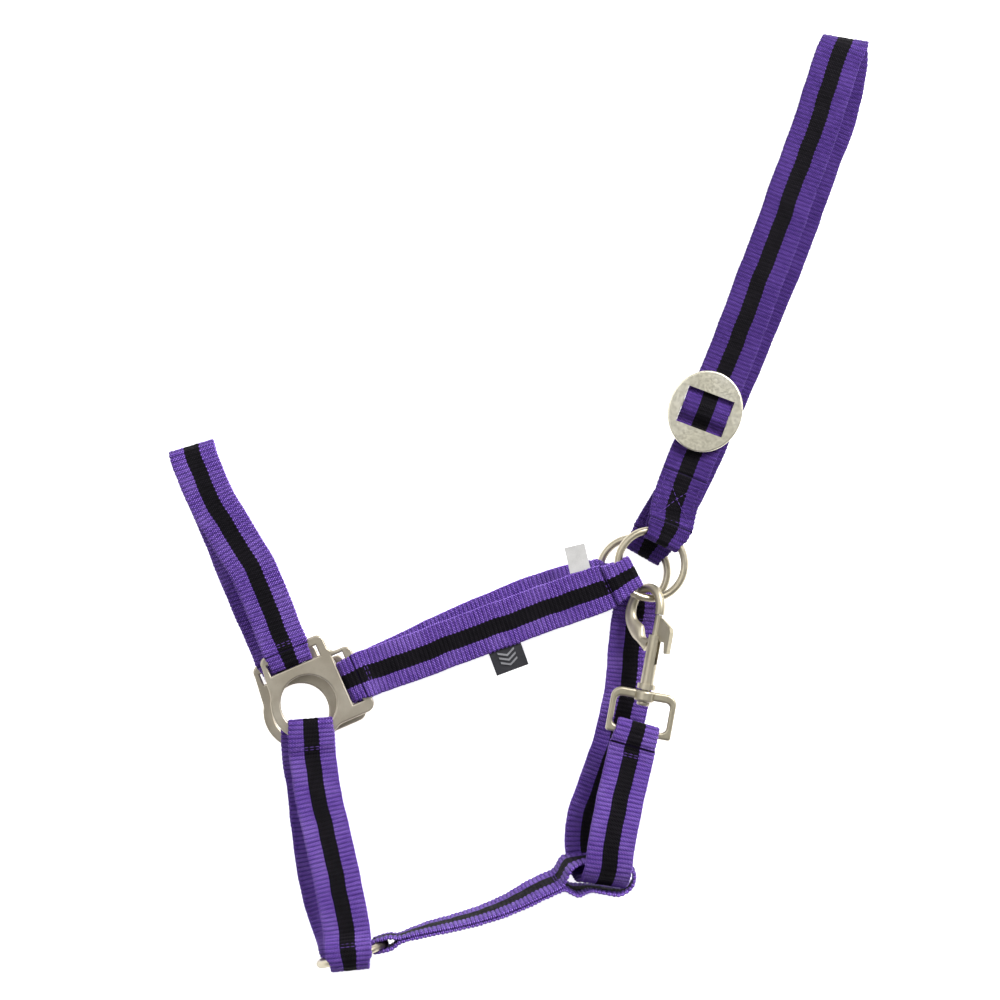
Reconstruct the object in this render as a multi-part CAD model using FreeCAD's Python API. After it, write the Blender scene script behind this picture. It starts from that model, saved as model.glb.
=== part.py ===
"""A full-size webbing head collar, lying on its off side on a flat surface.

Frame: +Z up from the surface, +Y towards the poll, X across, in millimetres.
The straps are doubled webbing: every strap is one closed belt of webbing whose
two ends open into eyes round the hardware. Each strap follows a list of
stations, and a station is (x, y, z, heading, lean): the middle of the strap
there, the compass heading of its width and how far that width leans upwards.
"""
import FreeCAD, Part
import math
import os

os.makedirs("parts", exist_ok=True)

# Driving dimensions of the webbing.
WIDTH = 25.0
THICK = 1.6
LAYER_GAP = 0.3
FIT = 0.3
PAIR = THICK + LAYER_GAP

# Rings: all three are the same welded ring.
RING_R = 18.0
WIRE_R = 2.0
FAR_RING = (60.4, -36.3, 3.9)
NEAR_RING = (69.4, -32.1, 17.4)
NEAR_RING_TILT = 10.0
LEAD_RING = (-88.3, -236.9, 23.5)
LEAD_HEADING = 18.0

# Side plates: a round hole below and two slots at right angles.
PLATE_TURN = 23.5
PLATE_THICK = 3.0
HOLE_R = 14.8
SLOT_LENGTH = 28.0
SLOT_DEPTH = 5.7
BAR_DEPTH = 5.0
NOSE_SLOT = 20.8
CHEEK_SLOT = 21.3
NEAR_PLATE = (-111.9, -105.5, 14.0)
FAR_PLATE = (-116.4, -110.5, 3.4)

# Snap: its axis, measured from the collar at the foot of the barrel.
SNAP = (66.2, -97.8, 24.3)
SNAP_TURN = -10.3
SNAP_ROLL = 42.0
BARREL_R = 3.5
BARREL_TOP = 28.8
BOLT_R = 1.9
BOLT_FOOT = 17.0
HOOK_TIP = 40.0
BOLT_TRAVEL = 8.0
POST_R = 2.0
EYE_HALF = 15.5
EYE_BAR_U = -22.9
EYE_WIRE_R = 1.9
EYE_LEG = 3.1
EYE_HEAD = 4.8

# Slide on the crown strap.
SLIDE = (97.6, 48.6)
SLIDE_TURN = -20.8
STRAP_SHIFT = 2.4
SLIDE_LONG = 21.8
SLIDE_WIDE = 19.6
SLIDE_THICK = 2.6
WINDOW = (25.6, 19.8)
SLIDE_BAR = 4.0
CROWN_Z = 17.4


def vec(x, y, z=0.0):
    return FreeCAD.Vector(x, y, z)


def save(name, shape):
    """Writes one node and reports its size."""
    box = shape.BoundBox
    state = "valid" if shape.isValid() else "NOT VALID"
    print(f"{name:22s} {state} {len(shape.Solids)} solids {shape.Volume:9.1f} mm3"
          f" x {box.XMin:7.1f}..{box.XMax:6.1f} y {box.YMin:7.1f}..{box.YMax:6.1f}"
          f" z {box.ZMin:5.2f}..{box.ZMax:5.2f}")
    shape.exportStep(f"parts/{name}.step")
    return shape


# ---------------------------------------------------------------- webbing


def smooth(p0, p1, p2, p3, t):
    """A point on the curve through p1 and p2, with p0 and p3 as neighbours."""
    a = [2.0 * b for b in p1]
    b = [q - p for p, q in zip(p0, p2)]
    c = [2 * p - 5 * q + 4 * r - s for p, q, r, s in zip(p0, p1, p2, p3)]
    d = [-p + 3 * q - 3 * r + s for p, q, r, s in zip(p0, p1, p2, p3)]
    return [0.5 * (e + f * t + g * t * t + h * t ** 3) for e, f, g, h in zip(a, b, c, d)]


def spine(stations, steps=5):
    """Points along a strap, each (position, width direction)."""
    first = [2 * a - b for a, b in zip(stations[0], stations[1])]
    last = [2 * a - b for a, b in zip(stations[-1], stations[-2])]
    rows = [first] + [list(s) for s in stations] + [last]
    out = []
    for i in range(1, len(rows) - 2):
        for k in range(steps):
            out.append(smooth(rows[i - 1], rows[i], rows[i + 1], rows[i + 2], k / steps))
    out.append(rows[-2])
    points = []
    for x, y, z, heading, lean in out:
        h, e = math.radians(heading), math.radians(lean)
        across = vec(math.cos(h) * math.cos(e), math.sin(h) * math.cos(e), math.sin(e))
        points.append((vec(x, y, z), across))
    return points


class Line:
    """A spine that can be asked for its place and directions at a distance."""

    def __init__(self, stations):
        self.points = spine(stations)
        self.at = [0.0]
        for (p, _), (q, _) in zip(self.points, self.points[1:]):
            self.at.append(self.at[-1] + p.distanceToPoint(q))
        self.length = self.at[-1]

    def frame(self, s):
        """Position, tangent, width direction and normal at distance s."""
        n = len(self.points)
        i = 0
        while i < n - 2 and self.at[i + 1] < s:
            i += 1
        t = (s - self.at[i]) / (self.at[i + 1] - self.at[i])
        (p, a), (q, b) = self.points[i], self.points[i + 1]
        place = p + (q - p) * t
        before = self.points[max(i - 1, 0)][0]
        after = self.points[min(i + 2, n - 1)][0]
        tangent = ((q - before) * (1 - t) + (after - p) * t)
        if i == 0:
            tangent = q - p
        tangent.normalize()
        across = a + (b - a) * t
        across = across - tangent * across.dot(tangent)
        across.normalize()
        return place, tangent, across, across.cross(tangent)


def eye_profile(reach, half, flat):
    """(distance from the end, height) of the webbing's middle round one eye."""
    top = half + THICK / 2
    low = PAIR / 2
    rows = []
    for k in range(4):
        a = math.radians(10 + 80 * k / 3)
        rows.append((THICK / 2 + top * (1 - math.cos(a)), top * math.sin(a)))
    rows.append((THICK / 2 + top + flat, top))
    for k in range(1, 4):
        f = k / 3
        rows.append((THICK / 2 + top + flat + (reach - flat) * f,
                     low + (top - low) * (1 + math.cos(math.pi * f)) / 2))
    return rows


def belt(stations, start, end, narrow_start=WIDTH, narrow_end=WIDTH, step=9.0):
    """One closed belt of webbing. start and end are (reach, half, flat) of an eye."""
    line = Line(stations)
    head = eye_profile(*start)
    tail = eye_profile(*end)
    inner = line.length - head[-1][0] - tail[-1][0]
    count = max(2, int(inner / step))
    body = [(head[-1][0] + inner * k / count, PAIR / 2) for k in range(1, count)]
    top = head + body + [(line.length - d, h) for d, h in reversed(tail)]
    loop = top + [(s, -h) for s, h in reversed(top)]
    n = len(loop)
    tracks = [[], [], [], []]
    for i, (s, h) in enumerate(loop):
        before, after = loop[i - 1], loop[(i + 1) % n]
        ds, dh = after[0] - before[0], after[1] - before[1]
        size = math.hypot(ds, dh)
        ns, nh = -dh / size, ds / size
        place, tangent, across, normal = line.frame(s)
        middle = place + normal * h
        out = tangent * ns + normal * nh
        near_start = max(0.0, 1 - s / head[-1][0])
        near_end = max(0.0, 1 - (line.length - s) / tail[-1][0])
        width = WIDTH - (WIDTH - narrow_start) * near_start ** 0.5
        width -= (WIDTH - narrow_end) * near_end ** 0.5
        corners = ((1, 1), (-1, 1), (-1, -1), (1, -1))
        for track, (side, face) in zip(tracks, corners):
            corner = middle + across * (side * width / 2) + out * (face * THICK / 2)
            corner.z = max(corner.z, 0.0)
            track.append(corner)
    faces = []
    for a, b in zip(tracks, tracks[1:] + tracks[:1]):
        for i in range(n):
            j = (i + 1) % n
            quad = (a[i], a[j], b[j], b[i])
            for tri in ((0, 1, 2), (0, 2, 3)):
                corner = [quad[k] for k in tri]
                faces.append(Part.Face(Part.makePolygon(corner + corner[:1])))
    shell = Part.makeShell(faces)
    shell.sewShape()
    solid = Part.Solid(shell)
    if solid.Volume < 0:
        solid.reverse()
    return solid


def at_plate(plate, u, v):
    """A place given in a side plate's own directions, as (x, y)."""
    a = math.radians(PLATE_TURN)
    return (plate[0] + u * math.cos(a) - v * math.sin(a),
            plate[1] + u * math.sin(a) + v * math.cos(a))


def rail(s, h=0.0):
    """A place along the straight run of the crown strap, from the slide's centre."""
    a = math.radians(SLIDE_TURN)
    return SLIDE[0] - s * math.sin(a) + h * math.cos(a), SLIDE[1] + s * math.cos(a) + h * math.sin(a)


FLAT = PAIR / 2 + THICK / 2
FAR_PLATE_Z = FAR_PLATE[2]
NOSE_FOLD_V = NOSE_SLOT + FIT
CHEEK_FOLD_U = CHEEK_SLOT + FIT

NOSEBAND = [
    (*at_plate(NEAR_PLATE, -0.2, NOSE_FOLD_V), 14.0, 23.5, 0),
    (*at_plate(NEAR_PLATE, 0.2, 35.0), 14.0, 23.5, 0),
    (-138.6, -40.5, 15.0, 29, 0),
    (-150.6, -19.3, 15.2, 29, 0),
    (-163.0, 1.9, 15.0, 25, 0),
    (-169.7, 16.5, 14.4, 20, 0),
    (-173.5, 26.2, 12.2, 17, 0),
    (-174.4, 29.2, 8.0, 17, 0),
    (-173.8, 26.2, 4.0, 17, 0),
    (-170.3, 16.0, 1.9, 18, 0),
    (-160.5, -7.0, FLAT, 21, 0),
    (-148.6, -36.0, FLAT, 25, 0),
    (-136.0, -66.0, FLAT, 26, 0),
    (*at_plate(FAR_PLATE, 0.0, 35.0), FAR_PLATE_Z, 23.5, 0),
    (*at_plate(FAR_PLATE, 0.0, NOSE_FOLD_V), FAR_PLATE_Z, 23.5, 0),
]
NEAR_CHIN = [
    (-111.2, -113.6, 14.0, 5, 0),
    (-110.0, -130.1, 14.2, 6, 0),
    (-107.6, -147.9, 17.5, 9, 0),
    (-103.8, -166.1, 22.5, 12, 0),
    (-98.7, -186.3, 28.0, 13, 0),
    (-93.8, -207.4, 33.5, 11, 0),
    (-90.6, -226.6, 37.6, 10, 0),
    (-88.8, -244.2, 38.8, 14, 0),
]
FAR_CHIN = [
    (FAR_PLATE[0] + 0.8, FAR_PLATE[1] - 8.1, FAR_PLATE_Z, 5, 0),
    (-114.2, -135.5, 3.0, 6, 0),
    (-111.4, -153.0, FLAT, 8, 0),
    (-109.2, -176.0, FLAT, 9, 0),
    (-105.6, -199.0, 2.6, 12, 0),
    (-100.6, -217.0, 5.0, 14, -5),
    (-96.0, -230.0, 8.4, 15, -8),
    (-91.2, -245.0, 9.2, 17, -8),
]
NEAR_CHEEK = [
    (*at_plate(NEAR_PLATE, CHEEK_FOLD_U, 1.9), 14.0, 113.5, 0),
    (*at_plate(NEAR_PLATE, 36.0, 2.0), 14.0, 113.5, 0),
    (-63.2, -83.6, 14.5, 112, 0),
    (-36.9, -74.0, 15.3, 111.5, 0),
    (-10.6, -64.0, 16.6, 110, 0),
    (15.7, -54.6, 18.6, 108.5, 0),
    (36.0, -47.4, 20.6, 109, 1),
    (49.5, -41.6, 20.9, 110, 3),
    (61.2, -35.2, 18.95, 110, 3.5),
]
FAR_CHEEK = [
    (*at_plate(FAR_PLATE, CHEEK_FOLD_U, 4.2), FAR_PLATE_Z, 113.5, 0),
    (*at_plate(FAR_PLATE, 36.0, 4.2), FAR_PLATE_Z, 113.5, 0),
    (-52.4, -77.0, FLAT, 114, 0),
    (-24.4, -64.0, FLAT, 113.5, 0),
    (3.6, -52.4, FLAT, 110, 0),
    (25.0, -45.4, FLAT, 108, 0),
    (38.5, -41.8, 3.9, 107, 0),
    (51.8, -38.5, 3.9, 106, 0),
]
CROWN = [
    (73.8, -22.0, 16.6, -21, -9),
    (79.6, -9.5, 15.8, -21, -9),
    (*rail(-47.0, STRAP_SHIFT), 16.8, SLIDE_TURN, -4),
    (*rail(-27.0, STRAP_SHIFT), CROWN_Z, SLIDE_TURN, 0),
    (*rail(30.0, STRAP_SHIFT), CROWN_Z, SLIDE_TURN, 0),
    (*rail(92.0, STRAP_SHIFT), CROWN_Z, SLIDE_TURN, 0),
    (141.9, 160.0, CROWN_Z, -20.2, 0),
    (152.1, 187.4, 17.2, -19.5, 0),
    (161.0, 213.9, 16.6, -17, 0),
    (167.9, 234.6, 15.0, -12, 0),
    (171.3, 242.6, 12.6, -9, 0),
    (172.6, 245.8, 8.0, -9, 0),
    (172.6, 242.6, 3.6, -9, 0),
    (172.5, 232.0, FLAT + 0.1, -9, 0),
    (167.2, 206.2, FLAT, -15, 0),
    (159.0, 185.0, FLAT, -20, 0),
    (145.8, 147.3, FLAT, -20, 0),
    (128.4, 103.6, FLAT, -22, 0),
    (103.0, 43.7, FLAT, -24, 0),
    (86.4, 8.0, FLAT, -26, 0),
    (72.2, -15.8, 3.9, -29, 0),
    (64.9, -28.5, 3.9, -30, 0),
]
THROAT = [
    (62.8, -45.0, 3.9, 2, 0),
    (61.6, -58.0, 3.9, 1, 0),
    (59.4, -77.0, FLAT, -1, 0),
    (58.4, -92.0, FLAT, -3, 0),
    (55.3, -110.0, FLAT, -9, 0),
    (50.3, -131.0, FLAT, -17, 0),
    (42.6, -152.0, FLAT, -21, 0),
    (37.2, -168.0, FLAT, -14, 0),
    (36.2, -181.0, 2.1, -8, 0),
    (38.2, -191.4, 5.0, -7, 0),
    (41.0, -197.8, 11.0, -8, 0),
    (42.8, -199.5, 17.0, -9, 0),
    (44.6, -198.2, 24.8, -8, 0),
    (46.0, -192.2, 32.3, -7, 0),
    (48.5, -176.3, 33.6, -11, 0),
    (52.6, -155.8, 30.0, -12, 0),
    (57.4, -135.2, 25.5, -12, 0),
    (62.9, -115.2, 24.3, -10.3, 0),
]
JOWL = [
    (-78.9, -233.8, 23.5, -72, 90),
    (-64.6, -229.4, 23.5, -72, 90),
    (-50.2, -224.8, 22.6, -71, 84),
    (-31.1, -220.2, 21.0, -74, 80),
    (-10.1, -213.4, 19.5, -68, 75),
    (8.0, -204.6, 18.2, -62, 69),
    (22.6, -198.4, 16.4, -72, 72),
    (36.0, -195.5, 14.6, -86, 86),
    (49.0, -197.0, 15.2, -91, 86),
    (61.2, -198.6, 15.2, -93, 86),
]

# Eyes of the belts: (reach beyond the fold, half of the inner height, flat run).
BAR_EYE = (13.5, PLATE_THICK / 2 + FIT, 7.4)
RIM_EYE = (17.0, PLATE_THICK / 2 + 2 * FIT, 10.5)
RING_EYE = (14.0, WIRE_R + FIT, 7.8)
LEAD_EYE = (12.0, 6.1, 2.5)
SNAP_EYE = (11.0, EYE_WIRE_R + 2 * FIT, 4.0)
THROAT_EYE = (34.0, 7.3, 25.0)
JOWL_RING_EYE = (13.0, WIRE_R + FIT, 6.2)

# ---------------------------------------------------------------- hardware


def ring(place, heading=None, tilt=0.0):
    """A welded ring lying flat, tilted, or standing on edge along a heading."""
    shape = Part.makeTorus(RING_R, WIRE_R)
    shape.rotate(vec(0, 0), vec(0, 1), tilt)
    if heading is not None:
        shape.rotate(vec(0, 0), vec(1, 0), 90)
        shape.rotate(vec(0, 0), vec(0, 0, 1), heading)
    shape.translate(vec(*place))
    return shape


def upright(edge):
    """True for an edge that runs straight along Z."""
    ends = [v.Point for v in edge.Vertexes]
    return len(ends) == 2 and abs(ends[0].z - ends[1].z) > 0.5 and (
        math.hypot(ends[0].x - ends[1].x, ends[0].y - ends[1].y) < 1e-6)


def soften(shape, radius, chosen):
    """Rounds the chosen edges, or leaves the shape alone where that fails."""
    edges = [e for e in shape.Edges if chosen(e)]
    try:
        rounded = shape.makeFillet(radius, edges)
    except Part.OCCError:
        return shape
    return rounded if rounded.isValid() and rounded.Volume > 0 else shape


def side_plate(place):
    """A cast square: one hole for the chin strap and two slots at right angles."""
    nose = Part.makeBox(36.0, NOSE_SLOT + SLOT_DEPTH + BAR_DEPTH, PLATE_THICK, vec(-15.5, 0))
    cheek = Part.makeBox(CHEEK_SLOT + SLOT_DEPTH + BAR_DEPTH, 37.0, PLATE_THICK, vec(0, -17.0))
    webs = [Part.Face(Part.makePolygon([vec(*p) for p in web])).extrude(vec(0, 0, PLATE_THICK))
            for web in (((-15.5, 26), (-18.5, 0), (0, 0), (-8, 26), (-15.5, 26)),
                        ((30.5, -14), (0, -18.2), (0, 0), (24, 0), (30.5, -14)))]
    body = Part.makeCylinder(20.2, PLATE_THICK).fuse([nose, cheek] + webs).removeSplitter()
    body = soften(body, 4.0, lambda e: upright(e) and min(v.Point.y for v in e.Vertexes) > 5)
    body = soften(body, 5.0, lambda e: upright(e) and max(v.Point.y for v in e.Vertexes) < -5)
    cuts = [
        Part.makeCylinder(HOLE_R, 9, vec(0, 0, -3)),
        Part.makeBox(SLOT_LENGTH, SLOT_DEPTH, 9, vec(-12.5, NOSE_SLOT, -3)),
        Part.makeBox(SLOT_DEPTH, SLOT_LENGTH, 9, vec(CHEEK_SLOT, -10.2, -3)),
    ]
    body = body.cut(Part.makeCompound(cuts)).removeSplitter()
    body = soften(body, 0.95, lambda e: abs(e.BoundBox.ZLength) < 1e-6)
    body.translate(vec(0, 0, -PLATE_THICK / 2))
    body.rotate(vec(0, 0), vec(0, 0, 1), PLATE_TURN)
    body.translate(vec(*place))
    return body


def on_snap(shape, rolled=True):
    """Moves a shape from the snap's own axes (v, u, normal) to its place."""
    if rolled:
        shape.rotate(vec(0, 0), vec(0, 1), -SNAP_ROLL)
    shape.rotate(vec(0, 0), vec(0, 0, 1), SNAP_TURN)
    shape.translate(vec(*SNAP))
    return shape


def rod(radius, start, end):
    """A round bar on the snap's axis from start to end."""
    return Part.makeCylinder(radius, end - start, vec(0, start), vec(0, 1))


def oval(v, u, turn, across, deep):
    """An oval section of the hook at (v, u), square to its path."""
    rim = Part.makeCircle(1.0)
    matrix = FreeCAD.Matrix()
    matrix.scale(across / 2, deep / 2, 1)
    rim = rim.toNurbs().transformGeometry(matrix)
    rim.rotate(vec(0, 0), vec(1, 0), 90)
    rim.rotate(vec(0, 0), vec(0, 0, 1), turn)
    rim.translate(vec(v, u))
    return Part.Wire(rim.Edges)


# The hook's path from its tip round to the barrel: (v, u, turn, width, depth).
HOOK = [
    (0.0, HOOK_TIP, 0, 4.9, 4.9),
    (-0.2, 43.5, 6, 4.9, 4.9),
    (-2.6, 49.4, 42, 4.9, 4.9),
    (-8.6, 52.8, 85, 4.9, 4.7),
    (-14.8, 50.6, 130, 5.0, 4.6),
    (-18.7, 44.8, 166, 5.6, 4.6),
    (-19.5, 38.8, 186, 6.4, 4.6),
    (-17.0, 33.0, 212, 7.6, 4.6),
    (-11.4, 28.2, 233, 8.6, 4.8),
    (-3.4, 23.6, 241, 9.2, 5.0),
]


def snap_body():
    barrel = rod(BARREL_R, 0, BARREL_TOP).fuse(rod(4.85, 0, 2.8))
    hook = Part.makeLoft([oval(*row) for row in HOOK], True, False)
    body = barrel.fuse(hook)
    bore = rod(BOLT_R + 0.06, 3.9, BARREL_TOP + 5)
    slot = Part.makeBox(8, BARREL_TOP - 13.7 + 5, 2.0, vec(0, 13.7, -1.0))
    return on_snap(body.cut([bore, slot, rod(1.6, -1, 3.0)]))


def snap_bolt():
    return on_snap(soften(rod(BOLT_R, BOLT_FOOT, HOOK_TIP - 0.25), 0.3, lambda e: True))


def thumb_lever():
    """The flag on the bolt: a thin web in the slot and a thicker thumb edge."""
    web = [(0.5, 38.6), (3.4, 38.2), (9.6, 34.4), (10.4, 32.0), (10.4, 27.0), (7.0, 26.0), (0.5, 26.2)]
    thumb = [(7.4, 35.2), (9.6, 34.2), (10.6, 31.8), (10.6, 20.6), (8.6, 20.2), (7.4, 26.0)]
    solids = []
    for outline, thick in ((web, 1.7), (thumb, 3.0)):
        points = [vec(v, u, -thick / 2) for v, u in outline]
        face = Part.Face(Part.makePolygon(points + points[:1]))
        solids.append(face.extrude(vec(0, 0, thick)))
    lever = solids[0].fuse(solids[1]).removeSplitter()
    lever = soften(lever, 0.5, lambda e: e.Length > 1.5)
    return on_snap(lever.cut(rod(BOLT_R, 0, 60)))


def bolt_spring():
    """The coil under the bolt, at rest between the bore's foot and the bolt."""
    wire_r, coil_r, start, end, turns = 0.2, 1.35, 4.2, BOLT_FOOT - 0.3, 9
    path = Part.makeHelix((end - start) / turns, end - start, coil_r)
    profile = Part.Wire(Part.makeCircle(wire_r, vec(coil_r, 0), vec(0, 1)))
    coil = Part.Wire(path.Edges).makePipeShell([profile], True, True)
    coil.rotate(vec(0, 0), vec(1, 0), -90)
    coil.translate(vec(0, start))
    return on_snap(coil)


def swivel_rivet():
    head = rod(3.6, -8.8, -6.9)
    head = soften(head, 1.2, lambda e: max(v.Point.y for v in e.Vertexes) < -8.5)
    return on_snap(rod(1.6, -1.0, 3.0).fuse([rod(POST_R, -7.0, -0.05), head]).removeSplitter())


def snap_eye():
    """The square eye: rounded shoulders, a boss for the rivet and a bar for the strap."""
    side, foot = EYE_HALF + EYE_WIRE_R, EYE_BAR_U - EYE_WIRE_R
    frame = Part.makeBox(2 * side, -0.7 - foot, 2 * EYE_WIRE_R, vec(-side, foot, -EYE_WIRE_R))
    frame = soften(frame, 5.5, lambda e: upright(e) and min(v.Point.y for v in e.Vertexes) > -2)
    frame = soften(frame, 1.5, lambda e: upright(e) and max(v.Point.y for v in e.Vertexes) < -20)
    half, low, high = side - EYE_LEG, foot + 2 * EYE_WIRE_R, -0.7 - EYE_HEAD
    hole = soften(Part.makeBox(2 * half, high - low, 9, vec(-half, low, -4.5)), 2.6, upright)
    frame = frame.cut(hole).removeSplitter()
    frame = soften(frame, 1.3, lambda e: e.BoundBox.ZLength < 1e-6)
    boss = soften(rod(5.4, -6.6, -0.7), 1.3, lambda e: True)
    eye = frame.fuse(boss).removeSplitter()
    return on_snap(eye.cut(rod(POST_R + 0.1, -9, 4)), rolled=False)


def on_rail(shape):
    """Moves a shape from the slide's own axes to its place on the crown strap."""
    shape.rotate(vec(0, 0), vec(0, 0, 1), SLIDE_TURN)
    shape.translate(vec(SLIDE[0], SLIDE[1]))
    return shape


STRAP_TOP = CROWN_Z + FLAT
SLIDE_FOOT = STRAP_TOP + THICK + 2 * FIT


def crown_slide():
    """The oval slide: a window for the webbing with a bar across its middle."""
    rim = Part.Ellipse(vec(0, 0), SLIDE_LONG, SLIDE_WIDE).toShape()
    rim.rotate(vec(0, 0), vec(0, 0, 1), 90)
    disc = Part.Face(Part.Wire(rim)).extrude(vec(0, 0, SLIDE_THICK))
    disc = soften(disc, 0.9, lambda e: True)
    half = (WINDOW[1] - SLIDE_BAR) / 2
    for s in (SLIDE_BAR / 2, -SLIDE_BAR / 2 - half):
        disc = disc.cut(Part.makeBox(WINDOW[0], half, 9, vec(-WINDOW[0] / 2, s, -3)))
    disc.translate(vec(0, 0, SLIDE_FOOT))
    return on_rail(disc)


def crown_bight():
    """The rise of webbing over the slide's bar; it travels with the slide."""
    low = STRAP_TOP + FIT + THICK / 2
    high = SLIDE_FOOT + SLIDE_THICK + FIT + THICK / 2
    side = [(13.0, low), (9.2, low), (8.2, low + 0.3), (4.0, high - 0.7), (2.6, high - 0.1), (0, high)]
    path = side + [(-s, z) for s, z in reversed(side[:-1])]
    upper, lower = [], []
    for i, (s, z) in enumerate(path):
        a, b = path[max(i - 1, 0)], path[min(i + 1, len(path) - 1)]
        size = math.hypot(b[0] - a[0], b[1] - a[1])
        ns, nz = (b[1] - a[1]) / size, -(b[0] - a[0]) / size
        upper.append(vec(-12.3, s + ns * THICK / 2, z + nz * THICK / 2))
        lower.append(vec(-12.3, s - ns * THICK / 2, z - nz * THICK / 2))
    outline = upper + lower[::-1]
    face = Part.Face(Part.makePolygon(outline + outline[:1]))
    return on_rail(face.extrude(vec(24.6, 0)))


def label(stations, s, offset, long, wide, turn):
    """A thin woven label whose inner end is held between a strap's layers."""
    place, tangent, across, normal = Line(stations).frame(s)
    shape = Part.makeBox(long, wide, 0.14, vec(-long / 2, -wide / 2, -0.07))
    shape.rotate(vec(0, 0), vec(0, 0, 1), turn)
    place = place + across * offset
    rows = (tangent.x, across.x, -normal.x, place.x,
            tangent.y, across.y, -normal.y, place.y,
            tangent.z, across.z, -normal.z, place.z, 0, 0, 0, 1)
    return shape.transformGeometry(FreeCAD.Matrix(*rows))


BELTS = {
    "noseband": (NOSEBAND, BAR_EYE, BAR_EYE, 23.0, 23.0),
    "near_chin_strap": (NEAR_CHIN, RIM_EYE, LEAD_EYE, 20.0, 18.0),
    "far_chin_strap": (FAR_CHIN, RIM_EYE, LEAD_EYE, 20.0, 17.0),
    "near_cheek_strap": (NEAR_CHEEK, BAR_EYE, RING_EYE, 23.0, 16.5),
    "far_cheek_strap": (FAR_CHEEK, BAR_EYE, RING_EYE, 23.0, 16.0),
    "crown_strap": (CROWN, RING_EYE, RING_EYE, 18.0, 20.5),
    "throat_strap": (THROAT, RING_EYE, SNAP_EYE, 15.0, 24.0, 7.0),
    "jowl_strap": (JOWL, JOWL_RING_EYE, THROAT_EYE, 19.0, 14.5, 6.0),
}

for name, settings in BELTS.items():
    save(name, belt(*settings))
save("near_plate", side_plate(NEAR_PLATE))
save("far_plate", side_plate(FAR_PLATE))
save("near_ring", ring(NEAR_RING, tilt=NEAR_RING_TILT))
save("far_ring", ring(FAR_RING))
save("lead_ring", ring(LEAD_RING, LEAD_HEADING))
save("snap_body", snap_body())
save("snap_bolt", snap_bolt())
save("thumb_lever", thumb_lever())
save("bolt_spring", bolt_spring())
save("swivel_rivet", swivel_rivet())
save("snap_eye", snap_eye())
save("crown_slide", crown_slide())
save("crown_bight", crown_bight())
save("size_label", label(NEAR_CHEEK, 139.0, 19.3, 11.0, 14.0, -8))
save("woven_tag", label(NEAR_CHEEK, 86.0, -17.9, 18.0, 14.0, 0))
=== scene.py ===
"""The looks of the webbing head collar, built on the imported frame.

Lengths in the strap code are millimetres in the part's own frame and become
metres when a mesh is made.
"""
import math
import random

import bpy
import numpy as np
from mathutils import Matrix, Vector


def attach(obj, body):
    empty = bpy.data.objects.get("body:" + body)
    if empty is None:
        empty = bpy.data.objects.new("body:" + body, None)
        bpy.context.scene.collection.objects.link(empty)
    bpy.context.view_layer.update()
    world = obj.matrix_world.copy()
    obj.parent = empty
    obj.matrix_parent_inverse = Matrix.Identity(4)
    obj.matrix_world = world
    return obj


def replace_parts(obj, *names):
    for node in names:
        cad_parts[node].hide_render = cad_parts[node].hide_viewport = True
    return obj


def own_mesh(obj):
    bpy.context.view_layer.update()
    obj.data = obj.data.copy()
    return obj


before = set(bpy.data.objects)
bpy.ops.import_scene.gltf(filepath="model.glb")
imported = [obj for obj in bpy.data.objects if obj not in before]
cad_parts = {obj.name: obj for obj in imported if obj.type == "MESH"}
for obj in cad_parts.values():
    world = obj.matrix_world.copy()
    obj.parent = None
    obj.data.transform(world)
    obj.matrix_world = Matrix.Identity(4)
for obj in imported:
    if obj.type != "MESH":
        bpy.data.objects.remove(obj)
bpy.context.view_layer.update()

MM = 0.001

# Webbing: its size, the two layers' distance, the middle line's height where a
# strap lies on the table, the ribs' distance and half the black stripe.
WIDTH = 25.0
THICK = 1.6
PAIR = 1.9
FLAT = 1.75
PITCH = 2.3
STRIPE = 4.15
HALF = WIDTH / 2

# ------------------------------------------------------------ node helpers


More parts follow.
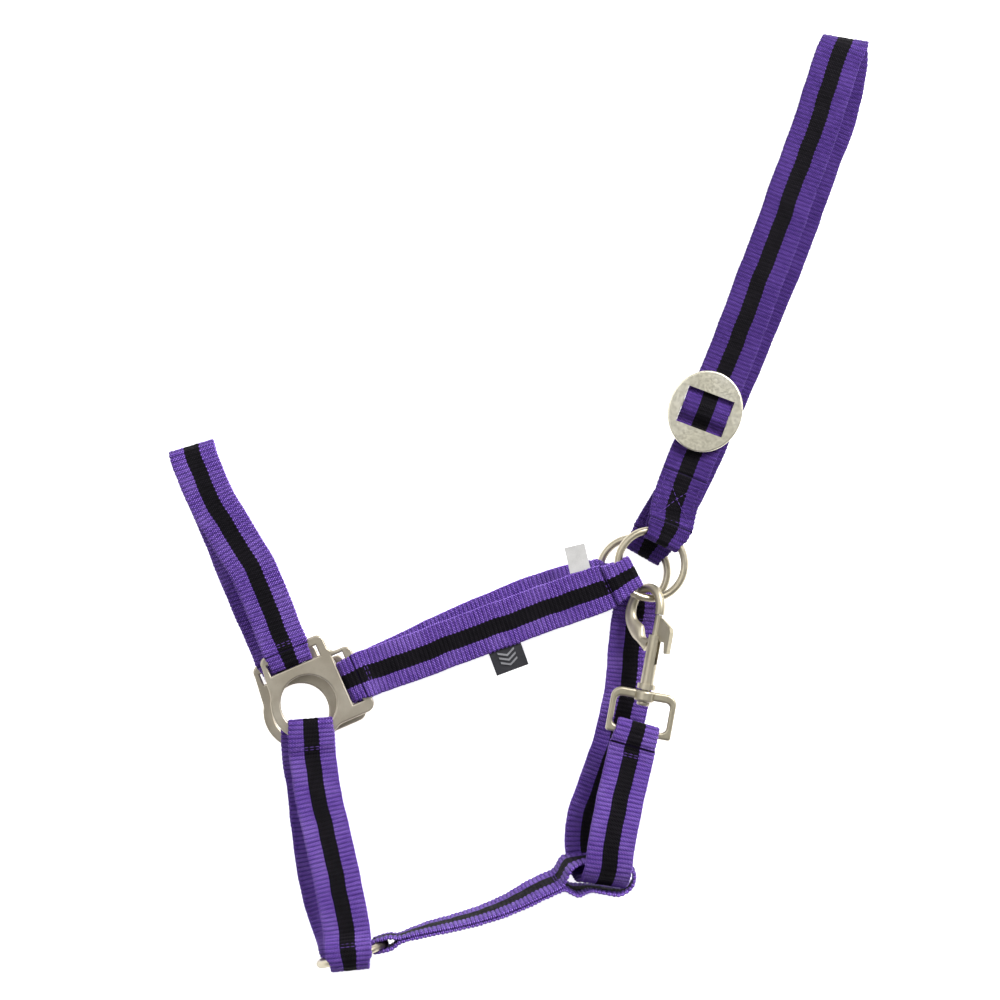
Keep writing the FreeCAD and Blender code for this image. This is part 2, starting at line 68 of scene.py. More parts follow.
class Nodes:
    """A material's node tree with short ways to add and join nodes."""

    def __init__(self, name):
        self.material = bpy.data.materials.new(name)
        self.material.use_nodes = True
        self.tree = self.material.node_tree
        self.shader = self.tree.nodes["Principled BSDF"]

    def add(self, kind, **values):
        node = self.tree.nodes.new(kind)
        for key, value in values.items():
            setattr(node, key, value)
        return node

    def link(self, source, target):
        self.tree.links.new(source, target)

    def feed(self, socket, value):
        """Joins another node's output to a socket, or sets its value."""
        if isinstance(value, bpy.types.NodeSocket):
            self.link(value, socket)
        else:
            socket.default_value = value

    def math(self, kind, a, b=0.0, clamp=False):
        node = self.add("ShaderNodeMath", operation=kind, use_clamp=clamp)
        self.feed(node.inputs[0], a)
        if len(node.inputs) > 1:
            self.feed(node.inputs[1], b)
        return node.outputs[0]

    def mix(self, factor, a, b):
        node = self.add("ShaderNodeMix", data_type="RGBA")
        self.feed(node.inputs[0], factor)
        self.feed(node.inputs[6], a)
        self.feed(node.inputs[7], b)
        return node.outputs[2]

    def noise(self, where, scale, detail=3.0, rough=0.5):
        node = self.add("ShaderNodeTexNoise")
        self.link(where, node.inputs["Vector"])
        node.inputs["Scale"].default_value = scale
        node.inputs["Detail"].default_value = detail
        node.inputs["Roughness"].default_value = rough
        return node.outputs["Fac"]

    def spread(self, value, low, high, out_low=0.0, out_high=1.0):
        """Stretches low..high to out_low..out_high, and holds it there."""
        node = self.add("ShaderNodeMapRange")
        self.feed(node.inputs[0], value)
        for i, v in enumerate((low, high, out_low, out_high)):
            node.inputs[i + 1].default_value = v
        return node.outputs[0]

    def bump(self, height, strength, distance):
        node = self.add("ShaderNodeBump")
        self.link(height, node.inputs["Height"])
        node.inputs["Strength"].default_value = strength
        node.inputs["Distance"].default_value = distance
        self.link(node.outputs[0], self.shader.inputs["Normal"])

    def place(self):
        """The place on the piece, which patterns follow."""
        return self.add("ShaderNodeTexCoord").outputs["Object"]


def srgb(r, g, b):
    """A colour given as 0 to 255 display values, as linear RGBA."""
    def lin(c):
        c /= 255.0
        return c / 12.92 if c <= 0.04045 else ((c + 0.055) / 1.055) ** 2.4
    return (lin(r), lin(g), lin(b), 1.0)


def weave(name, dark, base, light, yarn=1.15, row=0.85, rough=0.62, fine=0.7, ribs=0.8, gloss=0.2):
    """Nylon webbing: picks of yarn laid brick-wise along the strap, from the web map, with painted shade in
    the troughs between the ribs.
    """
    m = Nodes(name)
    uv = m.add("ShaderNodeUVMap", uv_map="web").outputs[0]
    split = m.add("ShaderNodeSeparateXYZ")
    m.link(uv, split.inputs[0])
    along = m.math("MULTIPLY", split.outputs[0], 1000.0)
    cross = m.math("MULTIPLY", split.outputs[1], 1000.0)
    column = m.math("DIVIDE", cross, row)
    odd = m.math("MULTIPLY", m.math("MODULO", m.math("FLOOR", m.math("ADD", column, 400.0)), 2.0), 0.5)
    step = m.math("ADD", m.math("DIVIDE", along, yarn), odd)
    lobe = m.math("ABSOLUTE", m.math("SINE", m.math("MULTIPLY", step, math.pi)))
    side = m.math("ABSOLUTE", m.math("SINE", m.math("MULTIPLY", column, math.pi)))
    pick = m.math("MULTIPLY", m.math("POWER", lobe, 0.9), m.math("POWER", side, 0.9))
    place = m.place()
    patch = m.noise(place, 60.0, 3.0)
    grain = m.noise(place, 1500.0, 3.0, 0.65)
    slub = m.noise(place, 420.0, 2.0, 0.6)
    tone = m.math("ADD", m.math("MULTIPLY", pick, 0.7),
                  m.math("ADD", m.math("MULTIPLY", grain, 0.45), m.math("MULTIPLY", slub, 0.3)))
    low = m.mix(m.spread(tone, 0.4, 0.85), dark, base)
    full = m.mix(m.spread(tone, 0.82, 1.1), low, light)
    faded = m.mix(m.math("MULTIPLY", m.spread(patch, 0.45, 0.75), 0.22), full, light)
    sway = m.math("ADD", along, m.math("MULTIPLY", m.noise(place, 300.0, 2.0), 0.9))
    turn = m.math("MULTIPLY", m.math("SUBTRACT", sway, 0.45), math.pi / PITCH)
    rib = m.math("ABSOLUTE", m.math("SINE", turn))
    # Painted shade: the troughs between the ribs are darkened towards a deep copy of the dark colour, by
    # the amount ribs.
    trough_shade = tuple(c * 0.45 for c in dark[:3]) + (1.0,)
    rib_shaded = m.mix(m.spread(rib, 0.0, 0.75), m.mix(1.0 - ribs, trough_shade, faded), faded)
    m.link(rib_shaded, m.shader.inputs["Base Color"])
    m.link(m.spread(tone, 0.2, 1.1, rough + 0.14, rough - 0.06), m.shader.inputs["Roughness"])
    m.shader.inputs["Specular IOR Level"].default_value = gloss
    m.bump(m.math("ADD", pick, m.math("MULTIPLY", grain, 0.35)), fine, 0.0003)
    return m.material


def satin(name, base, worn, rough):
    """Satin nickel plate: fine grain, soft blotches and brighter worn places."""
    m = Nodes(name)
    place = m.place()
    blotch = m.noise(place, 45.0, 4.0, 0.55)
    speck = m.noise(place, 900.0, 3.0, 0.6)
    tone = m.mix(m.spread(blotch, 0.42, 0.68), base, worn)
    pit = m.mix(m.spread(speck, 0.66, 0.82), tone, tuple(c * 0.86 for c in base[:3]) + (1.0,))
    m.link(pit, m.shader.inputs["Base Color"])
    m.shader.inputs["Metallic"].default_value = 1.0
    m.link(m.spread(speck, 0.3, 0.75, rough - 0.05, rough + 0.12), m.shader.inputs["Roughness"])
    m.bump(m.math("ADD", speck, m.math("MULTIPLY", blotch, 0.6)), 0.07, 0.0002)
    return m.material


def plain_cloth(name, base, shade, scale):
    """Fine woven cloth or thread, with no direction to its grain."""
    m = Nodes(name)
    place = m.place()
    grain = m.noise(place, scale, 2.0, 0.6)
    broad = m.noise(place, 180.0, 2.0)
    tone = m.math("ADD", m.math("MULTIPLY", grain, 0.6), m.math("MULTIPLY", broad, 0.4))
    m.link(m.mix(m.spread(tone, 0.35, 0.68), shade, base), m.shader.inputs["Base Color"])
    m.shader.inputs["Roughness"].default_value = 0.75
    m.shader.inputs["Specular IOR Level"].default_value = 0.2
    m.bump(grain, 0.35, 0.0002)
    return m.material


PURPLE = weave("purple_web", srgb(42, 19, 92), srgb(103, 62, 172), srgb(174, 140, 236), ribs=0.8)
BLACK = weave("black_web", srgb(5, 4, 7), srgb(14, 12, 17), srgb(38, 34, 42), ribs=0.6, gloss=0.08)
CROWN_PURPLE = weave("crown_purple_web", srgb(33, 14, 73), srgb(71, 38, 127), srgb(115, 81, 176), 0.95, 0.7,
                     ribs=0.6)
THREAD = plain_cloth("purple_thread", srgb(104, 76, 154), srgb(70, 46, 116), 4000.0)
# Painted shade for the line where a lap's cut end lies on the layer below.
CREASE_SHADE = plain_cloth("crease_shade", srgb(30, 16, 54), srgb(16, 8, 30), 4000.0)
LABEL = plain_cloth("label_white", srgb(206, 205, 203), srgb(184, 183, 181), 3600.0)
TAG = plain_cloth("tag_charcoal", srgb(58, 58, 62), srgb(40, 40, 44), 3600.0)
TAG_MARK = plain_cloth("tag_mark", srgb(150, 150, 154), srgb(110, 110, 114), 3600.0)
CAST = satin("satin_nickel_cast", srgb(182, 173, 156), srgb(206, 198, 182), 0.4)
SLIDE_METAL = satin("satin_nickel_slide", srgb(226, 221, 200), srgb(240, 236, 220), 0.34)
WIRE = satin("satin_nickel_wire", srgb(180, 171, 149), srgb(200, 192, 172), 0.36)
SNAP_METAL = satin("satin_nickel_snap", srgb(182, 174, 152), srgb(200, 192, 172), 0.42)
SPRING = satin("spring_steel", srgb(170, 170, 170), srgb(200, 200, 200), 0.3)

# ---------------------------------------------------------------- webbing


def make(name, points, faces, materials, slots=None, web=None, smooth=True):
    """A mesh object from points in millimetres."""
    mesh = bpy.data.meshes.new(name)
    mesh.from_pydata((np.asarray(points, float) * MM).tolist(), [], faces)
    for m in materials:
        mesh.materials.append(m)
    if slots is not None:
        mesh.polygons.foreach_set("material_index", np.asarray(slots, np.int32))
    if web is not None:
        layer = mesh.uv_layers.new(name="web")
        layer.data.foreach_set("uv", (np.asarray(web, np.float32) * MM).ravel())
    mesh.polygons.foreach_set("use_smooth", [smooth] * len(mesh.polygons))
    mesh.update()
    piece = bpy.data.objects.new(name, mesh)
    bpy.context.scene.collection.objects.link(piece)
    return piece


class Line:
    """A strap's middle line: stations (x, y, z, heading, lean) joined smoothly."""

    def __init__(self, stations, steps=16):
        rows = np.array(stations, float)
        rows = np.vstack([2 * rows[0] - rows[1], rows, 2 * rows[-1] - rows[-2]])
        out = []
        for i in range(1, len(rows) - 2):
            p0, p1, p2, p3 = rows[i - 1:i + 3]
            for k in range(steps):
                t = k / steps
                out.append(0.5 * (2 * p1 + (p2 - p0) * t + (2 * p0 - 5 * p1 + 4 * p2 - p3) * t * t
                                  + (3 * p1 - p0 - 3 * p2 + p3) * t ** 3))
        out.append(rows[-2])
        out = np.array(out)
        self.place = out[:, :3]
        h, e = np.radians(out[:, 3]), np.radians(out[:, 4])
        across = np.stack([np.cos(h) * np.cos(e), np.sin(h) * np.cos(e), np.sin(e)], 1)
        tangent = np.gradient(self.place, axis=0)
        tangent /= np.linalg.norm(tangent, axis=1)[:, None]
        across -= tangent * (across * tangent).sum(1)[:, None]
        across /= np.linalg.norm(across, axis=1)[:, None]
        self.tangent, self.across, self.normal = tangent, across, np.cross(across, tangent)
        self.at = np.concatenate([[0.0], np.cumsum(np.linalg.norm(np.diff(self.place, axis=0), axis=1))])
        self.length = self.at[-1]

    def pick(self, rows, s):
        """Values of one of the line's tables at distances s."""
        return np.stack([np.interp(s, self.at, rows[:, i]) for i in range(3)], -1)

    def frames(self, s):
        """Place, tangent, across and normal at distances s."""
        return [self.pick(rows, s) for rows in (self.place, self.tangent, self.across, self.normal)]


def eye(reach, half, flat):
    """(distance from the fold, height) of the webbing's middle round one eye."""
    top = half + THICK / 2
    rows = []
    bend, slope = 10, 8
    for k in range(1, bend + 1):
        a = math.pi / 2 * k / bend
        rows.append((THICK / 2 + top * (1 - math.cos(a)), top * math.sin(a)))
    rows.append((THICK / 2 + top + flat, top))
    for k in range(1, slope + 1):
        f = k / slope
        rows.append((THICK / 2 + top + flat + (reach - flat) * f,
                     PAIR / 2 + (top - PAIR / 2) * (1 + math.cos(math.pi * f)) / 2))
    return rows


def soft_step(d):
    """0 below, 1 above, with a soft change over about two millimetres."""
    return 1 / (1 + np.exp(np.clip(-2.2 * d, -40, 40)))


class Belt:
    """A closed belt of webbing, as surface functions of distance and width."""

    def __init__(self, stations, start, end, narrow, flare=(6.0, 6.0), crease=(None, None)):
        self.line = Line(stations)
        self.head, self.tail = eye(*start), eye(*end)
        self.narrow = narrow
        size = self.line.length
        mids = np.arange(self.head[-1][0] + 4, size - self.tail[-1][0] - 3, 4.0)
        top = self.head + [(s, PAIR / 2) for s in mids] + [(size - d, h) for d, h in reversed(self.tail)]
        self.top = np.array(top)
        loop = np.vstack([self.top, self.top[::-1] * (1, -1), self.top[:1]])
        self.arc = np.concatenate([[0], np.cumsum(np.hypot(*np.diff(loop, axis=0).T))])
        self.loop = loop
        self.crease = crease
        self.flare = flare

    def width(self, s):
        """The webbing's width, drawn in towards each fold over its flare."""
        size = self.line.length
        near, far = (np.clip(1 - (d - 3.0) / run, 0, 1) for d, run in zip((s, size - s), self.flare))
        near, far = near * near * (3 - 2 * near), far * far * (3 - 2 * far)
        return WIDTH - (WIDTH - self.narrow[0]) * near - (WIDTH - self.narrow[1]) * far - self.pinch(s)

    def pinch(self, s):
        """How much the single layer between a fold and its lap is drawn in."""
        near, far = self.crease
        inside = 0.0
        if near:
            inside = inside + soft_step(near - s)
        if far:
            inside = inside + soft_step(s - self.line.length + far)
        return 1.3 * inside

    def height(self, s):
        """Height of the outer layer's middle above the strap's middle line."""
        return np.interp(s, self.top[:, 0], self.top[:, 1])

    def upper(self, s):
        """Which face looks up at distance s: 1 or -1."""
        return 1 if self.line.pick(self.line.normal, s)[2] > 0 else -1

    def on_top(self, s, a, lift=0.0, side=1):
        """Points just above the strap's face, side 1 or -1, at distance s, width a."""
        s, a = np.asarray(s, float), np.asarray(a, float)
        place, tangent, across, normal = self.line.frames(s)
        h = side * (self.height(s) + THICK / 2 + lift)
        return place + across * a[..., None] + normal * h[..., None], tangent, across, normal * side


def mirrored(half):
    """Lanes across the webbing from its middle's left half, which ends in 0."""
    return np.array(half + [-v for v in half[-2::-1]])


# Lanes of the belt's mesh across the webbing: its rim and shoulders are thinner.
RIM = 12.3
SHOULDER = 11.9
LANES = mirrored([-12.5, -12.15, -11.1, -9.7, -8.3, -6.9, -5.5, -STRIPE, -2.8, -1.4, 0.0])

# Rows of the mesh to a rib. A lap stands up on both sides of its cut end, most
# close to it, and the cut end is a groove just past the crease, coloured with painted shade.
PER_RIB = 4
LAP_RUN = 6.0
LAP_SWELL = 0.9
LAP_BANK = 0.5
CUT_AT = 0.5
CUT_END = 0.9
CUT_HALF = 0.62
CUT_DEPTH = -0.4


def ribs_of(name, phase):
    """How high each row stands in its rib, 0 to about 1, no two ribs quite alike."""
    whim = random.Random(name)
    uneven = np.array([whim.uniform(0.72, 1.12) for _ in range(len(phase) // PER_RIB)])
    return np.abs(np.sin(math.pi * phase)) * np.repeat(uneven, PER_RIB)


def lap_rows(belt, s, h, creases):
    """Each row's lift at the laps, and which rows are the laps' cut, which is coloured with painted shade.
    """
    lap, shaded_cut = np.zeros(len(s)), np.zeros(len(s), bool)
    for crease in creases:
        before = (crease - s) * (1 if crease < belt.line.length / 2 else -1)
        outer = h * belt.upper(crease) > 0
        swell = LAP_SWELL * np.clip(1 - before / LAP_RUN, 0, 1) ** 1.2
        fall = LAP_BANK * np.exp((before + CUT_END) / 1.8)
        lap += np.where(outer & (before > 0) & (before < LAP_RUN), swell, 0.0)
        lap += np.where(outer & (before < -CUT_END) & (before > -LAP_RUN), fall, 0.0)
        shaded_cut |= outer & (np.abs(before + CUT_AT) < CUT_HALF)
    lap[shaded_cut] = CUT_DEPTH
    return lap, shaded_cut


def belt_mesh(name, belt, purple, rib, creases=()):
    """The belt as one mesh with its ribs, scalloped edges and toothed stripe."""
    count = int(round(belt.arc[-1] / PITCH)) * PER_RIB
    t = np.arange(count) * belt.arc[-1] / count
    s = np.interp(t, belt.arc, belt.loop[:, 0])
    h = np.interp(t, belt.arc, belt.loop[:, 1])
    ahead, behind = np.roll(np.arange(count), -2), np.roll(np.arange(count), 2)
    ds, dh = s[ahead] - s[behind], h[ahead] - h[behind]
    norm = np.hypot(ds, dh)
    ds, dh = ds / norm, dh / norm
    place, tangent, across, normal = belt.line.frames(s)
    middle = place + normal * h[:, None]
    out = tangent * -dh[:, None] + normal * ds[:, None]

    phase = np.arange(count) / PER_RIB
    ripple = ribs_of(name, phase)
    tooth = 2 * np.abs(phase % 1.0 - 0.5) - 0.5
    scale = (belt.width(s) / 2 - 0.42 + 0.45 * ripple) / HALF
    wander = 0.22 * np.sin(s / 9.3 + 1.0) + 0.16 * np.sin(s / 4.1) + 0.1 * np.sin(s / 2.3 + 2.0)
    sag = np.where(np.abs(LANES) > RIM, -0.5, np.where(np.abs(LANES) > SHOULDER, -0.16, 0.0))
    rise = np.where(np.abs(LANES) < RIM, 1.0, 0.4)
    groove = 0.07 * np.cos(LANES * math.pi / 1.4)
    run, lane = s[:, None], LANES[None]
    crinkle = 0.13 * np.sin(run / 1.7 + 1.3 * lane) * np.sin(run / 5.3 - 0.5 * lane)
    lap, shaded_cut = lap_rows(belt, s, h, creases)

    level = THICK / 2 - 0.2 + lap[:, None] + sag[None] + rib * ripple[:, None] * rise[None]
    level = level + groove[None] + crinkle
    a = lane * scale[:, None] + wander[:, None] * np.where(np.abs(LANES) < 12.0, 1.0, 0.6)[None]
    edge = np.abs(np.abs(LANES) - STRIPE) < 0.01
    a = a + np.where(edge[None], np.sign(lane) * 0.62 * tooth[:, None], 0.0)
    flat = middle[:, None] + across[:, None] * a[..., None]
    faces_out = [flat + out[:, None] * (face * level)[..., None] for face in (1, -1)]
    points = np.concatenate([faces_out[0], faces_out[1][:, ::-1]], 1)

    n = points.shape[1]
    lane_a = np.concatenate([LANES, LANES[::-1]])
    i = np.repeat(np.arange(count), n)
    j = np.tile(np.arange(n), count)
    i2, j2 = (i + 1) % count, (j + 1) % n
    faces = np.stack([i * n + j, i2 * n + j, i2 * n + j2, i * n + j2], 1)
    slots = (np.abs(lane_a[j] + lane_a[j2]) / 2 < STRIPE).astype(int)
    # The laps' cut rows get the painted shade material.
    slots[shaded_cut[i] & shaded_cut[i2]] = 2
    u0, u1 = i / PER_RIB * PITCH, (i + 1) / PER_RIB * PITCH
    web = np.stack([np.stack([u0, lane_a[j]], 1), np.stack([u1, lane_a[j]], 1),
                    np.stack([u1, lane_a[j2]], 1), np.stack([u0, lane_a[j2]], 1)], 1)
    points = points.reshape(-1, 3).copy()
    points[:, 2] = np.maximum(points[:, 2], 0.02)
    return make(name, points, faces.tolist(), [purple, BLACK, CREASE_SHADE], slots, web.reshape(-1, 2))


# ------------------------------------------------------------ the straps

# Where the plates and the slide are. The straps leave along their slots.
PLATE_TURN = 23.5
NEAR_PLATE = (-111.9, -105.5, 14.0)
FAR_PLATE = (-116.4, -110.5, 3.4)
SLIDE = (97.6, 48.6)
SLIDE_TURN = -20.8
STRAP_SHIFT = 2.4
CROWN_Z = 17.4


def at_plate(plate, u, v):
    """A place in plan from a side plate's own axes."""
    a = math.radians(PLATE_TURN)
    return (plate[0] + u * math.cos(a) - v * math.sin(a), plate[1] + u * math.sin(a) + v * math.cos(a))


def rail(s, h=0.0):
    """A place in plan along the slide's rail, h to its right."""
    a = math.radians(SLIDE_TURN)
    return SLIDE[0] - s * math.sin(a) + h * math.cos(a), SLIDE[1] + s * math.cos(a) + h * math.sin(a)


# Each strap's middle line: x, y, z, heading and lean, from one fold to the other.
NOSEBAND = [
    (*at_plate(NEAR_PLATE, -0.2, 21.1), 14.0, 23.5, 0),
    (*at_plate(NEAR_PLATE, 0.2, 35.0), 14.0, 23.5, 0),
    (-138.6, -40.5, 15.0, 29, 0),
    (-150.6, -19.3, 15.2, 29, 0),
    (-163.0, 1.9, 15.0, 25, 0),
    (-169.7, 16.5, 14.4, 20, 0),
    (-173.5, 26.2, 12.2, 17, 0),
    (-174.4, 29.2, 8.0, 17, 0),
    (-173.8, 26.2, 4.0, 17, 0),
    (-170.3, 16.0, 1.9, 18, 0),
    (-160.5, -7.0, FLAT, 21, 0),
    (-148.6, -36.0, FLAT, 25, 0),
    (-136.0, -66.0, FLAT, 26, 0),
    (*at_plate(FAR_PLATE, 0.0, 35.0), 3.4, 23.5, 0),
    (*at_plate(FAR_PLATE, 0.0, 21.1), 3.4, 23.5, 0),
]
NEAR_CHIN = [
    (-111.2, -113.6, 14.0, 5, 0),
    (-110.0, -130.1, 14.2, 6, 0),
    (-107.6, -147.9, 17.5, 9, 0),
    (-103.8, -166.1, 22.5, 12, 0),
    (-98.7, -186.3, 28.0, 13, 0),
    (-93.8, -207.4, 33.5, 11, 0),
    (-90.6, -226.6, 37.6, 10, 0),
    (-88.8, -244.2, 38.8, 14, 0),
]
FAR_CHIN = [
    (-115.6, -118.6, 3.4, 5, 0),
    (-114.2, -135.5, 3.0, 6, 0),
    (-111.4, -153.0, FLAT, 8, 0),
    (-109.2, -176.0, FLAT, 9, 0),
    (-105.6, -199.0, 2.6, 12, 0),
    (-100.6, -217.0, 5.0, 14, -5),
    (-96.0, -230.0, 8.4, 15, -8),
    (-91.2, -245.0, 9.2, 17, -8),
]
NEAR_CHEEK = [
    (*at_plate(NEAR_PLATE, 21.6, 1.9), 14.0, 113.5, 0),
    (*at_plate(NEAR_PLATE, 36.0, 2.0), 14.0, 113.5, 0),
    (-63.2, -83.6, 14.5, 112, 0),
    (-36.9, -74.0, 15.3, 111.5, 0),
    (-10.6, -64.0, 16.6, 110, 0),
    (15.7, -54.6, 18.6, 108.5, 0),
    (36.0, -47.4, 20.6, 109, 1),
    (49.5, -41.6, 20.9, 110, 3),
    (61.2, -35.2, 18.95, 110, 3.5),
]
FAR_CHEEK = [
    (*at_plate(FAR_PLATE, 21.6, 4.2), 3.4, 113.5, 0),
    (*at_plate(FAR_PLATE, 36.0, 4.2), 3.4, 113.5, 0),
    (-52.4, -77.0, FLAT, 114, 0),
    (-24.4, -64.0, FLAT, 113.5, 0),
    (3.6, -52.4, FLAT, 110, 0),
    (25.0, -45.4, FLAT, 108, 0),
    (38.5, -41.8, 3.9, 107, 0),
    (51.8, -38.5, 3.9, 106, 0),
]
CROWN = [
    (73.8, -22.0, 16.6, -21, -9),
    (79.6, -9.5, 15.8, -21, -9),
    (*rail(-47.0, STRAP_SHIFT), 16.8, SLIDE_TURN, -4),
    (*rail(-27.0, STRAP_SHIFT), CROWN_Z, SLIDE_TURN, 0),
    (*rail(30.0, STRAP_SHIFT), CROWN_Z, SLIDE_TURN, 0),
    (*rail(92.0, STRAP_SHIFT), CROWN_Z, SLIDE_TURN, 0),
    (141.9, 160.0, CROWN_Z, -20.2, 0),
    (152.1, 187.4, 17.2, -19.5, 0),
    (161.0, 213.9, 16.6, -17, 0),
    (167.9, 234.6, 15.0, -12, 0),
    (171.3, 242.6, 12.6, -9, 0),
    (172.6, 245.8, 8.0, -9, 0),
    (172.6, 242.6, 3.6, -9, 0),
    (172.5, 232.0, FLAT + 0.1, -9, 0),
    (167.2, 206.2, FLAT, -15, 0),
    (159.0, 185.0, FLAT, -20, 0),
    (145.8, 147.3, FLAT, -20, 0),
    (128.4, 103.6, FLAT, -22, 0),
    (103.0, 43.7, FLAT, -24, 0),
    (86.4, 8.0, FLAT, -26, 0),
    (72.2, -15.8, 3.9, -29, 0),
    (64.9, -28.5, 3.9, -30, 0),
]
THROAT = [
    (62.8, -45.0, 3.9, 2, 0),
    (61.6, -58.0, 3.9, 1, 0),
    (59.4, -77.0, FLAT, -1, 0),
    (58.4, -92.0, FLAT, -3, 0),
    (55.3, -110.0, FLAT, -9, 0),
    (50.3, -131.0, FLAT, -17, 0),
    (42.6, -152.0, FLAT, -21, 0),
    (37.2, -168.0, FLAT, -14, 0),
    (36.2, -181.0, 2.1, -8, 0),
    (38.2, -191.4, 5.0, -7, 0),
    (41.0, -197.8, 11.0, -8, 0),
    (42.8, -199.5, 17.0, -9, 0),
    (44.6, -198.2, 24.8, -8, 0),
    (46.0, -192.2, 32.3, -7, 0),
    (48.5, -176.3, 33.6, -11, 0),
    (52.6, -155.8, 30.0, -12, 0),
    (57.4, -135.2, 25.5, -12, 0),
    (62.9, -115.2, 24.3, -10.3, 0),
]
JOWL = [
    (-78.9, -233.8, 23.5, -72, 90),
    (-64.6, -229.4, 23.5, -72, 90),
    (-50.2, -224.8, 22.6, -71, 84),
    (-31.1, -220.2, 21.0, -74, 80),
    (-10.1, -213.4, 19.5, -68, 75),
    (8.0, -204.6, 18.2, -62, 69),
    (22.6, -198.4, 16.4, -72, 72),
    (36.0, -195.5, 14.6, -86, 86),
    (49.0, -197.0, 15.2, -91, 86),
    (61.2, -198.6, 15.2, -93, 86),
]

# Eyes round the fittings: reach from the fold, half the clear height, flat run.
BAR_EYE = (13.5, 1.8, 7.4)
RIM_EYE = (17.0, 2.1, 10.5)
RING_EYE = (14.0, 2.3, 7.8)
LEAD_EYE = (12.0, 6.1, 2.5)
SNAP_EYE = (11.0, 2.5, 4.0)
THROAT_EYE = (34.0, 7.3, 25.0)
JOWL_RING_EYE = (13.0, 2.3, 6.2)

# Stations, the two eyes, the widths at the two folds, the runs they ease over, and
# how far from each fold the outer layer ends in a lap.
BELTS = {
    "noseband": Belt(NOSEBAND, BAR_EYE, BAR_EYE, (24.0, 23.5), crease=(8.5, 8.5)),
    "near_chin_strap": Belt(NEAR_CHIN, RIM_EYE, LEAD_EYE, (24.0, 20.5)),
    "far_chin_strap": Belt(FAR_CHIN, RIM_EYE, LEAD_EYE, (24.0, 19.5)),
    "near_cheek_strap": Belt(NEAR_CHEEK, BAR_EYE, RING_EYE, (24.0, 19.0), (6.0, 20.0), (8.0, 16.0)),
    "far_cheek_strap": Belt(FAR_CHEEK, BAR_EYE, RING_EYE, (23.5, 16.5), crease=(8.0, 13.0)),
    "crown_strap": Belt(CROWN, RING_EYE, RING_EYE, (21.0, 21.0), crease=(12.0, 12.0)),
    "throat_strap": Belt(THROAT, RING_EYE, SNAP_EYE, (15.5, 24.0), crease=(None, 12.5)),
    "jowl_strap": Belt(JOWL, JOWL_RING_EYE, THROAT_EYE, (20.5, 15.0)),
}
CROWN_LAP = 39.0


def all_straps():
    """The eight belts, each in place of its plain CAD belt."""
    for name, belt in BELTS.items():
        near, far = belt.crease
        laps = [near] if near else []
        if far:
            laps.append(belt.line.length - far)
        purple, rib = PURPLE, 0.42
        if name == "crown_strap":
            laps.append(CROWN_LAP)
            purple, rib = CROWN_PURPLE, 0.26
        piece = belt_mesh("web_" + name, belt, purple, rib, laps)
        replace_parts(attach(piece, "straps"), name)


all_straps()


# ---------------------------------------------------------------- stitching

STITCH = 2.1
STITCH_GAP = 0.7
THREAD_R = 0.24
THREAD_ROWS = 6
THREAD_SIDES = 6


def seam(belt, start, end, side):
    """A line of stitches on a belt's face between two (distance, width) places."""
    points, faces = [], []
    (s0, a0), (s1, a1) = start, end
    long = math.hypot(s1 - s0, a1 - a0)
    count = max(1, int((long + STITCH_GAP) / (STITCH + STITCH_GAP)))
    last_row = THREAD_ROWS - 1
    for k in range(count):
        first = (k + 0.5) / count - STITCH / 2 / long
        last = (k + 0.5) / count + STITCH / 2 / long
        f = np.linspace(first, last, THREAD_ROWS)
        arch = THREAD_R * 1.2 * np.sin(np.linspace(0, math.pi, THREAD_ROWS)) - 0.12
        mid, _, _, up = belt.on_top(s0 + (s1 - s0) * f, a0 + (a1 - a0) * f, 0.1, side)
        mid = mid + up * arch[:, None]
        ahead = np.gradient(mid, axis=0)
        ahead /= np.linalg.norm(ahead, axis=1)[:, None]
        beside = np.cross(ahead, up)
        base = len(points)
        for row in range(THREAD_ROWS):
            thin = 0.45 if row in (0, last_row) else 1.0
            for q in range(THREAD_SIDES):
                turn = math.tau * q / THREAD_SIDES
                spoke = beside[row] * math.cos(turn) + up[row] * math.sin(turn)
                points.append(mid[row] + spoke * THREAD_R * thin)
        for row in range(last_row):
            here = base + row * THREAD_SIDES
            there = here + THREAD_SIDES
            for q in range(THREAD_SIDES):
                q2 = (q + 1) % THREAD_SIDES
                faces.append((here + q, here + q2, there + q2, there + q))
        tip = base + last_row * THREAD_SIDES
        faces.append([base + q for q in reversed(range(THREAD_SIDES))])
        faces.append([tip + q for q in range(THREAD_SIDES)])
    return points, faces


def stitching(name, belt, lines, side=1):
    """All the stitches of one place on a strap, as one mesh."""
    points, faces = [], []
    for start, end in lines:
        more, rings = seam(belt, start, end, side)
        faces += [[i + len(points) for i in ring] for ring in rings]
        points += more
    piece = make("stitches_" + name, points, faces, [THREAD])
    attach(piece, "straps")


def cross_rows(s, half, rows=2, gap=1.4):
    """Rows of stitches straight across the strap."""
    return [((s + gap * k, -half), (s + gap * k, half)) for k in range(rows)]


def box_x(s0, s1, half):
    """A box seam with its two diagonals."""
    corners = [(s0, -half), (s0, half), (s1, half), (s1, -half)]
    sides = list(zip(corners, corners[1:] + corners[:1]))
    return sides + [(corners[0], corners[2]), (corners[1], corners[3])]


# Cross rows near each strap's two ends: distance from the fold and half length.
CROSS_ROWS = {
    "near_chin_strap": ((15.5, 10.5), (14.0, 9.5)),
    "far_chin_strap": ((15.5, 10.5), (14.0, 9.5)),
    "near_cheek_strap": ((13.0, 9.8), (18.0, 9.8)),
    "far_cheek_strap": ((13.0, 9.8), (18.0, 9.8)),
    "noseband": ((12.0, 9.8), (14.0, 9.8)),
    "throat_strap": ((16.0, 9.8), (19.0, 9.8)),
    "jowl_strap": ((15.0, 9.8), (44.0, 9.8)),
}


